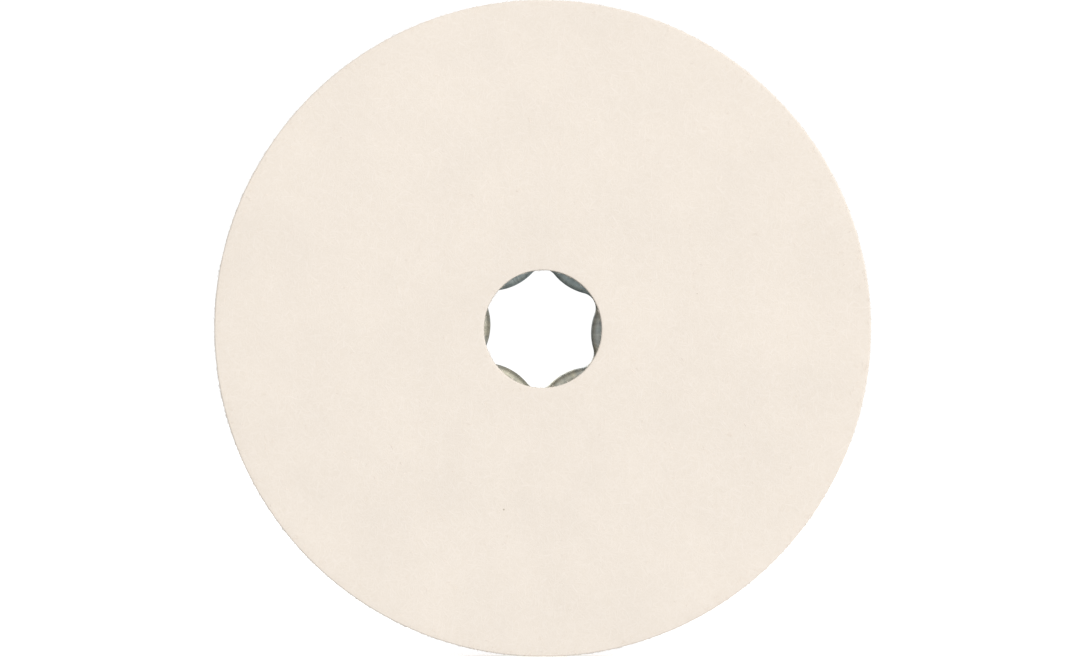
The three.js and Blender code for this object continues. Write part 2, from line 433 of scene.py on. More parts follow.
def turned(name, section, segments):
    """A closed section turned about Y. Each point of the section is (radius, level, centre, lobed):
    the centre of its ring, and how far the ring follows the lobes, from 0 to 1."""
    angles = np.arange(segments) * FULL_TURN / segments
    rows = []
    for radius, level, centre, _ in section:
        row = np.empty((segments, 3))
        row[:, 0] = centre[0] + radius * np.cos(angles)
        row[:, 1] = level
        row[:, 2] = centre[1] + radius * np.sin(angles)
        rows.append(row)
    rings = len(section)
    faces = []
    for ring in range(rings):
        here = ring * segments
        above = (ring + 1) % rings * segments
        for k in range(segments):
            after = (k + 1) % segments
            faces.append((here + k, above + k, above + after, here + after))
    mesh = bpy.data.meshes.new(name)
    mesh.from_pydata(np.concatenate(rows).tolist(), [], faces)
    lobed = mesh.attributes.new("lobed", "FLOAT", "POINT")
    lobed.data.foreach_set("value", np.repeat([point[3] for point in section], segments))
    face_outwards(mesh)
    return mesh


def face_outwards(mesh):
    """Turns a closed mesh's faces outwards and shades it smooth."""
    shell = bmesh.new()
    shell.from_mesh(mesh)
    bmesh.ops.recalc_face_normals(shell, faces=shell.faces)
    shell.to_mesh(mesh)
    shell.free()
    mesh.polygons.foreach_set("use_smooth", [True] * len(mesh.polygons))
    mesh.update()


def new_piece(name, mesh, material):
    """Puts a mesh in the scene as an object at the origin."""
    piece = bpy.data.objects.new(name, mesh)
    bpy.context.scene.collection.objects.link(piece)
    mesh.materials.clear()
    mesh.materials.append(material)
    return piece


def place_piece(piece, slot, *nodes):
    """Makes a finished piece ride with the disc and stand for its CAD nodes, which it hides. The
    slot is not used.
    """
    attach(piece, BODY)
    if nodes:
        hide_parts(*nodes)


def between(start, end, steps):
    """Evenly spaced values from start to end, both included."""
    return [start + (end - start) * k / steps for k in range(steps + 1)]


def unevenness(point, *waves):
    """Smooth unevenness at a point: the sum of waves, each a height, a spacing in mm and a seed.
    The seed picks the part of the noise that the wave is taken from."""
    total = 0.0
    for height, spacing, seed in waves:
        start = Vector((seed * 17.3, seed * 5.1, seed * 9.7))
        total += height * noise.noise(point / (spacing * MM) + start)
    return total


def rounded(radius, start, end, steps):
    """Steps round a quarter of a circle, from one turn to another: how far each step is in from
    the circle's side, and how far in from its end."""
    turns = between(start, end, steps)
    return [(radius * (1 - math.sin(turn)), radius * (1 - math.cos(turn))) for turn in turns]


def run_nodes(piece, tree, values):
    """Puts a node tree on a piece, sets its inputs by name, and makes the result its plain mesh."""
    modifier = piece.modifiers.new(tree.name, "NODES")
    modifier.node_group = tree
    for item in tree.interface.items_tree:
        if item.item_type == "SOCKET" and item.in_out == "INPUT" and item.name in values:
            modifier[item.identifier] = values[item.name]
    graph = bpy.context.evaluated_depsgraph_get()
    made = bpy.data.meshes.new_from_object(piece.evaluated_get(graph))
    piece.modifiers.clear()
    piece.data = made


def new_tree(name, inputs):
    """An empty geometry tree with a geometry input and output, and the named inputs."""
    tree = bpy.data.node_groups.new(name, "GeometryNodeTree")
    tree.interface.new_socket("Geometry", in_out="INPUT", socket_type="NodeSocketGeometry")
    for label, kind in inputs:
        tree.interface.new_socket(label, in_out="INPUT", socket_type=kind)
    tree.interface.new_socket("Geometry", in_out="OUTPUT", socket_type="NodeSocketGeometry")
    return tree, add(tree, "NodeGroupInput").outputs


def finish_tree(tree, geometry, material):
    """Ends a geometry tree: its instances are made real and its faces get the material."""
    real = add(tree, "GeometryNodeRealizeInstances", None, {"Geometry": geometry})
    finished = add(tree, "GeometryNodeSetMaterial", None, {"Geometry": real, "Material": material})
    add(tree, "NodeGroupOutput", None, {"Geometry": finished})
    return tree


# ---------------------------------------------------------------- felt


def felt_section(size):
    """The felt's section: working face, worn corner, rim, back, pocket and bore. Each point also
    carries how rough the felt is there in mm, and how thickly loose fibres stand on it."""
    front = FELT_LOW.y
    back = FELT_HIGH.y
    # The felt is hidden in its pocket and on its back, and keeps just clear of hub and adhesive.
    pocket = HUB_LOW.y - 0.02 * MM
    glued = back - 0.005 * MM
    rim = FELT_RADIUS
    arris = size.arris
    bore_round = 0.18 * MM
    section = []
    rough = []
    nap = []

    def point(radius, level, centre, roughness=0.0, fuzz=0.0):
        section.append((radius, level, centre, 0.0))
        rough.append(roughness)
        nap.append(fuzz)

    for aside, below in rounded(bore_round, QUARTER_TURN, 0, 5):
        point(BORE_RADIUS + aside, front + below, BORE_CENTRE, 0.02, 0.5)
    first = BORE_RADIUS + bore_round
    last = rim - arris
    for share in between(0, 1, 66)[1:-1]:
        radius = first + (last - first) * share
        rolled = max(0.0, 1 - (last - radius) / size.roll_width)
        level = front + size.roll_depth * rolled**2
        centre = tuple(b + (f - b) * share for b, f in zip(BORE_CENTRE, FELT_CENTRE))
        point(radius, level, centre, 0.045, 0.05 + 0.5 * rolled)
    for turn in between(0, QUARTER_TURN, 7):
        radius = rim - arris * (1 - math.sin(turn))
        level = front + size.roll_depth + (arris - size.roll_depth) * (1 - math.cos(turn))
        point(radius, level, FELT_CENTRE, 0.035, 1.8)
    for level in between(front + arris, back - 0.2 * MM, 20)[1:]:
        point(rim, level, FELT_CENTRE, 0.04, 1.0)
    point(rim - 0.06 * MM, back - 0.06 * MM, FELT_CENTRE, 0.035, 1.6)
    point(rim - 0.25 * MM, back, FELT_CENTRE, 0.03, 1.0)
    for radius in between(rim - 0.6 * MM, POCKET_RADIUS, 12):
        share = (radius - POCKET_RADIUS) / (rim - POCKET_RADIUS)
        point(radius, glued, tuple(f * share for f in FELT_CENTRE))
    point(POCKET_RADIUS, pocket, AXIS)
    for radius in between(POCKET_RADIUS, BORE_RADIUS, 8)[1:]:
        share = (POCKET_RADIUS - radius) / (POCKET_RADIUS - BORE_RADIUS)
        point(radius, pocket, tuple(b * share for b in BORE_CENTRE))
    for level in between(pocket, front + bore_round, 16)[1:-1]:
        point(BORE_RADIUS, level, BORE_CENTRE, 0.02, 0.35)
    return section, rough, nap


def make_felt(size):
    """The pressed felt, with the small unevenness that die cutting and pressing leave in it."""
    section, rough, nap = felt_section(size)
    mesh = turned("pressed_felt", section, size.segments)
    places = points_of(mesh)
    normals = np.array([entry.vector for entry in mesh.vertex_normals])
    amount = np.repeat(rough, size.segments) * MM
    for k in np.nonzero(amount)[0]:
        swell = unevenness(Vector(places[k]), (1, 16, 1), (0.55, 5, 2), (0.4, 1.6, 3))
        places[k] += normals[k] * (swell * amount[k])
    mesh.vertices.foreach_set("co", places.ravel())
    fuzz = mesh.attributes.new("nap", "FLOAT", "POINT")
    fuzz.data.foreach_set("value", np.repeat(nap, size.segments))
    mesh.update()
    return mesh


def nap_tree():
    """Short bent wool fibres scattered over the felt, thickest where its nap attribute is high."""
    tree, given = new_tree("wool_nap", [
        ("Fibres per Area", "NodeSocketFloat"),
        ("Fibre Length", "NodeSocketFloat"),
        ("Fibre Radius", "NodeSocketFloat"),
        ("Lift", "NodeSocketFloat"),
        ("Seed", "NodeSocketInt"),
        ("Material", "NodeSocketMaterial"),
    ])
    nap = add(tree, "GeometryNodeInputNamedAttribute", {"data_type": "FLOAT"}, {"Name": "nap"})
    density = add(tree, "ShaderNodeMath", {"operation": "MULTIPLY"}, {
        0: nap, 1: given["Fibres per Area"],
    })
    scatter = add(tree, "GeometryNodeDistributePointsOnFaces", {"distribute_method": "RANDOM"}, {
        "Mesh": given["Geometry"], "Density": density, "Seed": given["Seed"],
    })
    reach = add(tree, "ShaderNodeCombineXYZ", None, {
        "X": given["Fibre Length"], "Y": given["Fibre Length"], "Z": given["Lift"],
    })
    ring = add(tree, "GeometryNodeCurvePrimitiveCircle", None, {
        "Resolution": 3, "Radius": given["Fibre Radius"],
    })
    # Three shapes of fibre: nearly straight, bowed to one side, and hooked. Each has a start, a
    # middle and an end, in shares of the fibre's length and lift.
    shapes = []
    for bends in (
        ((-0.5, 0.0, -0.15), (0.0, 0.05, 0.7), (0.5, 0.0, 0.25)),
        ((-0.5, 0.0, -0.15), (0.1, 0.35, 0.5), (0.42, -0.1, 0.9)),
        ((-0.4, 0.0, -0.15), (0.45, 0.1, 0.9), (0.2, 0.35, 0.35)),
    ):
        start, middle, end = [
            add(tree, "ShaderNodeVectorMath", {"operation": "MULTIPLY"}, {0: shares, 1: reach})
            for shares in bends
        ]
        spine = add(tree, "GeometryNodeCurveQuadraticBezier", None, {
            "Resolution": 4, "Start": start, "Middle": middle, "End": end,
        })
        fibre = add(tree, "GeometryNodeCurveToMesh", None, {
            "Curve": spine, "Profile Curve": ring, "Fill Caps": True,
        })
        shapes.append(add(tree, "GeometryNodeGeometryToInstance", None, {"Geometry": fibre}))
    kinds = add(tree, "GeometryNodeJoinGeometry", None, {"Geometry": shapes})
    spin = add(tree, "FunctionNodeRandomValue", {"data_type": "FLOAT"}, {
        "Min": 0.0, "Max": FULL_TURN, "Seed": given["Seed"],
    })
    turned_by = add(tree, "FunctionNodeAxisAngleToRotation", None, {
        "Axis": (0, 0, 1), "Angle": spin.outputs[RANDOM_NUMBER],
    })
    way = add(tree, "FunctionNodeRotateRotation", {"rotation_space": "LOCAL"}, {
        "Rotation": scatter.outputs["Rotation"], "Rotate By": turned_by,
    })
    grown = add(tree, "FunctionNodeRandomValue", {"data_type": "FLOAT"}, {
        "Min": 0.5, "Max": 1.25, "Seed": 7,
    })
    laid = add(tree, "GeometryNodeInstanceOnPoints", None, {
        "Points": scatter.outputs["Points"], "Instance": kinds, "Pick Instance": True,
        "Rotation": way, "Scale": grown.outputs[RANDOM_NUMBER],
    })
    return finish_tree(tree, laid, given["Material"])


# ---------------------------------------------------------------- hub and clamp ring


def bent_sheet(corners, sheet, inside_bend, steps, arris):
    """The section of a bent sheet. The sheet's middle runs through the corners, each corner is
    (radius, level, lobed), and the cut edges have their sharpness taken off."""
    middle_bend = inside_bend + sheet / 2
    right = []
    left = []

    def pair(at, heading, lobed, inset=0.0):
        across = Vector((-math.sin(heading), math.cos(heading)))
        half = sheet / 2 - inset
        right.append((*(at - across * half), lobed))
        left.insert(0, (*(at + across * half), lobed))

    points = [Vector(corner[:2]) for corner in corners]
    ways = [(b - a) for a, b in zip(points, points[1:])]
    headings = [math.atan2(way.y, way.x) for way in ways]
    along = Vector((math.cos(headings[0]), math.sin(headings[0])))
    for inset, back in rounded(arris, 0, QUARTER_TURN, 3):
        pair(points[0] + along * back, headings[0], corners[0][2], inset)
    for i in range(1, len(corners) - 1):
        bend = headings[i] - headings[i - 1]
        bend -= FULL_TURN * round(bend / FULL_TURN)
        side = math.copysign(1, bend)
        reach = middle_bend * math.tan(abs(bend) / 2)
        before = Vector((math.cos(headings[i - 1]), math.sin(headings[i - 1])))
        across = Vector((-before.y, before.x))
        centre = points[i] - before * reach + across * side * middle_bend
        count = max(3, round(steps * abs(bend) / QUARTER_TURN))
        for heading in between(headings[i - 1], headings[i - 1] + bend, count):
            out = Vector((math.sin(heading), -math.cos(heading)))
            pair(centre + out * side * middle_bend, heading, corners[i][2])
    along = Vector((math.cos(headings[-1]), math.sin(headings[-1])))
    for inset, back in rounded(arris, QUARTER_TURN, 0, 3):
        pair(points[-1] - along * back, headings[-1], corners[-1][2], inset)
    return [(radius, level, AXIS, lobed) for radius, level, lobed in right + left]


def lobed_throat_tree():
    """Gives a turned ring its lobes. Each lug is an arc that bulges towards the axis, each lobe an
    arc that bulges away from it, and the two are tangent."""
    tree, given = new_tree("lobed_throat", [
        ("Lobes", "NodeSocketInt"),
        ("Lug Radius", "NodeSocketFloat"),
        ("Lobe Depth", "NodeSocketFloat"),
        ("Lobe Rounding", "NodeSocketFloat"),
        ("Turn", "NodeSocketFloat"),
        ("Material", "NodeSocketMaterial"),
    ])
    place = add(tree, "GeometryNodeInputPosition")
    apart = add(tree, "ShaderNodeSeparateXYZ", None, {"Vector": place})
    lobed = add(tree, "GeometryNodeInputNamedAttribute", {"data_type": "FLOAT"}, {"Name": "lobed"})
    # Each step is its name, the sum that it does, and what it works on. An arc crosses a ray from
    # the axis at along -+ sqrt(along^2 - centre^2 + round^2), where along = centre * cos(angle).
    steps = [
        ("xx", "MULTIPLY", "x", "x"),
        ("zz", "MULTIPLY", "z", "z"),
        ("squares", "ADD", "xx", "zz"),
        ("radius", "SQRT", "squares"),
        ("angle", "ARCTAN2", "z", "x"),
        ("pitch", "DIVIDE", FULL_TURN, "lobes"),
        ("half_pitch", "DIVIDE", "pitch", 2.0),
        ("cos_half", "COSINE", "half_pitch"),
        ("sin_half", "SINE", "half_pitch"),
        # The lobe's arc, and its centre along and across the way to the lug.
        ("lobe_end", "ADD", "lug", "depth"),
        ("lobe_centre", "SUBTRACT", "lobe_end", "lobe_round"),
        ("lobe_along", "MULTIPLY", "lobe_centre", "cos_half"),
        ("lobe_across", "MULTIPLY", "lobe_centre", "sin_half"),
        # The lug's arc goes through its crest and is tangent to the lobe's.
        ("near", "SUBTRACT", "lug", "lobe_round"),
        ("near_square", "MULTIPLY", "near", "near"),
        ("lobe_square", "MULTIPLY", "lobe_centre", "lobe_centre"),
        ("over", "SUBTRACT", "near_square", "lobe_square"),
        ("short", "SUBTRACT", "near", "lobe_along"),
        ("under", "MULTIPLY", "short", 2.0),
        ("lug_centre", "DIVIDE", "over", "under"),
        ("lug_round", "SUBTRACT", "lug_centre", "lug"),
        # The angle from the lug at which the arcs meet.
        ("rounds", "ADD", "lug_round", "lobe_round"),
        ("share", "DIVIDE", "lug_round", "rounds"),
        ("step_along", "SUBTRACT", "lobe_along", "lug_centre"),
        ("meet_along", "MULTIPLY_ADD", "share", "step_along", "lug_centre"),
        ("meet_across", "MULTIPLY", "share", "lobe_across"),
        ("meet", "ARCTAN2", "meet_across", "meet_along"),
        # The point's angle from the nearest lug and from the nearest lobe.
        ("past_first", "SUBTRACT", "angle", "turn"),
        ("pitches", "DIVIDE", "past_first", "pitch"),
        ("whole", "ROUND", "pitches"),
        ("nearest", "MULTIPLY", "whole", "pitch"),
        ("past_nearest", "SUBTRACT", "past_first", "nearest"),
        ("lug_angle", "ABSOLUTE", "past_nearest"),
        ("lobe_angle", "SUBTRACT", "half_pitch", "lug_angle"),
        ("on_lug", "LESS_THAN", "lug_angle", "meet"),
    ]
    for arc, crossing in (("lug", "SUBTRACT"), ("lobe", "ADD")):
        steps += [
            (f"{arc}_cos", "COSINE", f"{arc}_angle"),
            (f"{arc}_ray", "MULTIPLY", f"{arc}_centre", f"{arc}_cos"),
            (f"{arc}_ray_square", "MULTIPLY", f"{arc}_ray", f"{arc}_ray"),
            (f"{arc}_centre_square", "MULTIPLY", f"{arc}_centre", f"{arc}_centre"),
            (f"{arc}_gap", "SUBTRACT", f"{arc}_ray_square", f"{arc}_centre_square"),
            (f"{arc}_round_square", "MULTIPLY", f"{arc}_round", f"{arc}_round"),
            (f"{arc}_sum", "ADD", f"{arc}_gap", f"{arc}_round_square"),
            (f"{arc}_clear", "MAXIMUM", f"{arc}_sum", 0.0),
            (f"{arc}_root", "SQRT", f"{arc}_clear"),
            (f"{arc}_radius", crossing, f"{arc}_ray", f"{arc}_root"),
        ]
    # The point moves out or in as far as its ring follows the lobes.
    steps += [
        ("off_lobe", "SUBTRACT", 1.0, "on_lug"),
        ("lug_part", "MULTIPLY", "lug_radius", "on_lug"),
        ("throat", "MULTIPLY_ADD", "lobe_radius", "off_lobe", "lug_part"),
        ("bulge", "SUBTRACT", "throat", "lug"),
        ("moved", "MULTIPLY_ADD", "lobed", "bulge", "radius"),
        ("cos", "COSINE", "angle"),
        ("sin", "SINE", "angle"),
        ("new_x", "MULTIPLY", "moved", "cos"),
        ("new_z", "MULTIPLY", "moved", "sin"),
    ]
    values = {
        "x": apart.outputs["X"], "z": apart.outputs["Z"], "lobed": lobed,
        "lobes": given["Lobes"], "lug": given["Lug Radius"], "depth": given["Lobe Depth"],
        "lobe_round": given["Lobe Rounding"], "turn": given["Turn"],
    }
    for name, operation, *terms in steps:
        values[name] = add(tree, "ShaderNodeMath", {"operation": operation}, {
            k: values.get(term, term) for k, term in enumerate(terms)
        })
    at = add(tree, "ShaderNodeCombineXYZ", None, {
        "X": values["new_x"], "Y": apart.outputs["Y"], "Z": values["new_z"],
    })
    shaped = add(tree, "GeometryNodeSetPosition", None, {
        "Geometry": given["Geometry"], "Position": at,
    })
    return finish_tree(tree, shaped, given["Material"])


# ---------------------------------------------------------------- adhesive


def squeeze_out_tree():
    """Beads of adhesive along the edge of the film, drawn out the way that the edge runs."""
    tree, given = new_tree("squeezed_out_adhesive", [
        ("Edge Radius", "NodeSocketFloat"),
        ("Level", "NodeSocketFloat"),
        ("Bead Size", "NodeSocketFloat"),
        ("Beads", "NodeSocketInt"),
        ("Slip", "NodeSocketFloat"),
        ("Seed", "NodeSocketInt"),
        ("Material", "NodeSocketMaterial"),
    ])
    edge = add(tree, "GeometryNodeCurvePrimitiveCircle", None, {
        "Resolution": 360, "Radius": given["Edge Radius"],
    })
    lift = add(tree, "ShaderNodeCombineXYZ", None, {"Y": given["Level"]})
    upright = add(tree, "GeometryNodeTransform", None, {
        "Geometry": edge, "Translation": lift, "Rotation": (QUARTER_TURN, 0, 0),
    })
    spots = add(tree, "GeometryNodeCurveToPoints", {"mode": "COUNT"}, {
        "Curve": upright, "Count": given["Beads"],
    })
    back = add(tree, "ShaderNodeMath", {"operation": "MULTIPLY"}, {0: given["Slip"], 1: -1.0})
    slip = add(tree, "FunctionNodeRandomValue", {"data_type": "FLOAT"}, {
        "Min": back, "Max": given["Slip"], "Seed": given["Seed"],
    })
    along = add(tree, "ShaderNodeVectorMath", {"operation": "SCALE"}, {
        0: spots.outputs["Tangent"], "Scale": slip.outputs[RANDOM_NUMBER],
    })
    strayed = add(tree, "GeometryNodeSetPosition", None, {
        "Geometry": spots.outputs["Points"], "Offset": along,
    })
    bead = add(tree, "GeometryNodeMeshIcoSphere", None, {
        "Radius": given["Bead Size"], "Subdivisions": 2,
    })
    smooth = add(tree, "GeometryNodeSetShadeSmooth", None, {"Geometry": bead})
    swell = add(tree, "FunctionNodeRandomValue", {"data_type": "FLOAT_VECTOR"}, {
        "Min": (0.25, 0.3, 0.8), "Max": (1.0, 0.8, 9.0), "Seed": given["Seed"],
    })
    laid = add(tree, "GeometryNodeInstanceOnPoints", None, {
        "Points": strayed, "Instance": smooth, "Rotation": spots.outputs["Rotation"],
        "Scale": swell.outputs[RANDOM_VECTOR],
    })
    both = add(tree, "GeometryNodeJoinGeometry", None, {"Geometry": [given["Geometry"], laid]})
    return finish_tree(tree, both, given["Material"])


# ---------------------------------------------------------------- settings


# What the lengths have in common, and the colours.
LENGTH = {"min": 0.0, "unit": "LENGTH", "precision": 5}
COLOUR = {"subtype": "COLOR", "size": 4, "min": 0.0, "max": 1.0}


class FeltSettings(bpy.types.PropertyGroup):
    """Sizes and colour of the felt."""

    arris: FloatProperty(
        name="Worn Corner", description="Radius of the worn corner round the working face",
        default=FELT_RADIUS - FLAT_RADIUS, **LENGTH,
    )
    roll_width: FloatProperty(
        name="Roll Width", description="How far in from the corner the face starts to roll off",
        default=2.2 * MM, **LENGTH,
    )
    roll_depth: FloatProperty(
        name="Roll Depth", description="How far the face has rolled off at the corner",
        default=0.04 * MM, **LENGTH,
    )
    segments: IntProperty(
        name="Segments", description="Steps round the axis", default=720, min=96,
    )
    nap_density: FloatProperty(
        name="Nap Density", description="Loose fibres per square metre where the nap is even",
        default=1.0e6, min=0.0,
    )
    nap_length: FloatProperty(
        name="Nap Length", description="Length of a loose fibre", default=0.9 * MM, **LENGTH,
    )
    nap_radius: FloatProperty(
        name="Nap Radius", description="Half the thickness of a loose fibre",
        default=0.022 * MM, **LENGTH,
    )
    nap_lift: FloatProperty(
        name="Nap Lift", description="How far a loose fibre stands off the felt",
        default=0.28 * MM, **LENGTH,
    )
    seed: IntProperty(name="Seed", description="Arrangement of the loose fibres", default=3)
    colour: FloatVectorProperty(
        name="Wool", description="Colour of the wool", default=colour("#eae1d7"), **COLOUR,
    )


class BackingSettings(bpy.types.PropertyGroup):
    """Sizes and colours of the fibre backing and the adhesive that holds the felt on it."""

    bead_size: FloatProperty(
        name="Bead Size", description="Radius of the largest beads of squeezed-out adhesive",
        default=0.22 * MM, **LENGTH,
    )
    beads: IntProperty(
        name="Beads", description="Beads of adhesive round the edge", default=96, min=0,
    )
    bead_slip: FloatProperty(
        name="Bead Slip", description="How far a bead may lie along the edge from its even place",
        default=2.4 * MM, **LENGTH,
    )
    seed: IntProperty(name="Seed", description="Arrangement of the beads", default=5)
    warp: FloatProperty(
        name="Warp", description="How far the backing's rear face waves",
        default=0.03 * MM, **LENGTH,
    )
    adhesive: FloatVectorProperty(
        name="Adhesive", description="Colour of the adhesive", default=colour("#c9a25a"), **COLOUR,
    )
    colour: FloatVectorProperty(
        name="Fibre", description="Colour of the vulcanised fibre",
        default=colour("#6b2f23"), **COLOUR,
    )


class HubSettings(bpy.types.PropertyGroup):
    """Sizes and colour of the two steel pressings."""

    lobes: IntProperty(name="Lobes", description="Lobes round the throat", default=6, min=3)
    lug_radius: FloatProperty(
        name="Lug Radius", description="Axis to the crest of each lug",
        default=LUG_RADIUS, **LENGTH,
    )
    lobe_depth: FloatProperty(
        name="Lobe Depth", description="Crest of a lug to the bottom of a lobe",
        default=LOBE_DEPTH, **LENGTH,
    )
    lobe_round: FloatProperty(
        name="Lobe Rounding", description="Radius in the bottom of each lobe",
        default=2.9 * MM, **LENGTH,
    )
    turn: FloatProperty(
        name="Turn", description="Angle from +X to the first lug",
        default=HUB_TURN, subtype="ANGLE",
    )
    sheet: FloatProperty(
        name="Sheet", description="Thickness of the steel", default=1.0 * MM, **LENGTH,
    )
    bend: FloatProperty(
        name="Hub Bend", description="Inside radius of the hub ring's bends",
        default=0.5 * MM, **LENGTH,
    )
    clamp_bend: FloatProperty(
        name="Clamp Bend", description="Inside radius of the clamp ring's bends",
        default=0.3 * MM, **LENGTH,
    )
    arris: FloatProperty(
        name="Cut Edge", description="Radius on the cut edges of the sheet",
        default=0.14 * MM, **LENGTH,
    )
    colour: FloatVectorProperty(
        name="Zinc", description="Colour of the zinc plating", default=colour("#a7aaa6"), **COLOUR,
    )


# The view is this many times as wide as the disc.
VIEW_OVER_DISC = 1.6507


class StageSettings(bpy.types.PropertyGroup):
    """The camera, the light and the floor."""

    distance: FloatProperty(
        name="Camera Distance", description="Camera to the felt's working face",
        default=1.3, min=0.1, unit="LENGTH",
    )
    view_width: FloatProperty(
        name="View Width", description="Width of the view at the felt's working face",
        default=2 * FELT_RADIUS * VIEW_OVER_DISC, min=0.01, unit="LENGTH", precision=5,
    )
    view_across: FloatProperty(
        name="View Across", description="How far the view's middle is to the right of the disc's",
        default=-0.13 * MM, unit="LENGTH", precision=5,
    )
    view_up: FloatProperty(
        name="View Up", description="How far the view's middle is above the disc's",
        default=-0.03 * MM, unit="LENGTH", precision=5,
    )
    room_light: FloatProperty(
        name="Room Light", description="Mean strength of the soft light from all round",
        default=0.645, min=0.0,
    )
    room_shade: FloatProperty(
        name="Room Shade", description="How much brighter the room is on its bright side",
        default=0.5, min=0.0,
    )
    key_light: FloatProperty(
        name="Key Light", description="Power of the large light above and right of the camera",
        default=27.0, min=0.0, unit="POWER",
    )
    back_light: FloatProperty(
        name="Back Light", description="Power of the light behind the disc",
        default=22.0, min=0.0, unit="POWER",
    )
    floor: FloatVectorProperty(
        name="Floor", description="Colour of the floor", default=colour("#f4f4f4"), **COLOUR,
    )


class WheelSettings(bpy.types.PropertyGroup):
    """All the settings of the disc."""

    felt: PointerProperty(type=FeltSettings)
    backing: PointerProperty(type=BackingSettings)
    hub: PointerProperty(type=HubSettings)
    stage: PointerProperty(type=StageSettings)


# ---------------------------------------------------------------- operators


class MakeFelt(bpy.types.Operator):
    """Makes the pressed felt disc and the loose fibres on it"""

    bl_idname = "felt_disc.make_felt"
    bl_label = "Pressed Felt"

    def execute(self, context):
        size = context.scene.felt_disc.felt
        mesh = make_felt(size)
        nap = new_piece("loose_fibres", mesh.copy(), loose_wool(size))
        run_nodes(nap, nap_tree(), {
            "Fibres per Area": size.nap_density,
            "Fibre Length": size.nap_length,
            "Fibre Radius": size.nap_radius,
            "Lift": size.nap_lift,
            "Seed": size.seed,
            "Material": nap.data.materials[0],
        })
        felt = new_piece("pressed_felt", mesh, pressed_wool_felt(size))
        place_piece(felt, "felt", "felt_disc")
        place_piece(nap, "felt")
        # The loose fibres are drawn thicker than real ones, and their shadows would be too dark.
        nap.visible_shadow = False
        return {"FINISHED"}


class MakeBacking(bpy.types.Operator):
    """Makes the fibre backing and the adhesive film with its squeezed-out beads"""

    bl_idname = "felt_disc.make_backing"
    bl_label = "Fibre Backing"

    def execute(self, context):
        size = context.scene.felt_disc.backing
        self.make_adhesive(size)
        self.make_fibre(size)
        return {"FINISHED"}

    def make_adhesive(self, size):
        """The film between felt and fibre, with an uneven edge."""
        low = BOND_LOW.y
        high = BOND_HIGH.y
        mesh = turned("adhesive", [
            (POCKET_RADIUS, low, AXIS, 0.0), (BOND_RADIUS, low, AXIS, 0.0),
            (BOND_RADIUS, high, AXIS, 0.0), (POCKET_RADIUS, high, AXIS, 0.0),
        ], segments=720)
        for vertex in mesh.vertices:
            across = vertex.co.xz
            if across.length > (POCKET_RADIUS + BOND_RADIUS) / 2:
                reach = unevenness(vertex.co, (0.45, 7, 4), (0.25, 2, 5)) * MM
                vertex.co.xz = across + across.normalized() * reach
        film = new_piece("adhesive", mesh, contact_adhesive(size))
        run_nodes(film, squeeze_out_tree(), {
            "Edge Radius": FIBRE_RADIUS,
            "Level": (low + high) / 2,
            "Bead Size": size.bead_size,
            "Beads": size.beads,
            "Slip": size.bead_slip,
            "Seed": size.seed,
            "Material": film.data.materials[0],
        })
        place_piece(film, "adhesive", "bond_layer")

    def make_fibre(self, size):
        """The fibre disc, with its cut edges rounded and its rear face a little uneven."""
        low = FIBRE_LOW.y
        high = FIBRE_HIGH.y
        edge = 0.12 * MM
        section = []
        for aside, below in rounded(edge, 0, QUARTER_TURN, 3):
            section.append((FIBRE_RADIUS - aside, low + below, AXIS, 0.0))
        for aside, below in rounded(edge, QUARTER_TURN, 0, 3):
            section.append((FIBRE_RADIUS - aside, high - below, AXIS, 0.0))
        for radius in between(FIBRE_RADIUS - 1 * MM, HUB_HOLE_RADIUS, 24):
            section.append((radius, high, AXIS, 0.0))
        section.append((HUB_HOLE_RADIUS, low, AXIS, 0.0))
        mesh = turned("fibre_backing_disc", section, segments=480)
        # The board is held flat under the clamp ring, and waves fully 6 mm further out.
        held = CLAMP_HIGH.x + 1 * MM
        free = 6 * MM
        for vertex in mesh.vertices:
            reach = vertex.co.xz.length
            if vertex.co.y > high - SAME_LEVEL and reach > held:
                swell = unevenness(vertex.co, (1, 22, 6), (0.4, 6, 7))
                vertex.co.y += swell * size.warp * min(1.0, (reach - held) / free)
        mesh.update()
        disc = new_piece("fibre_disc", mesh, vulcanised_fibre(size))
        place_piece(disc, "fibre", "fibre_backing")


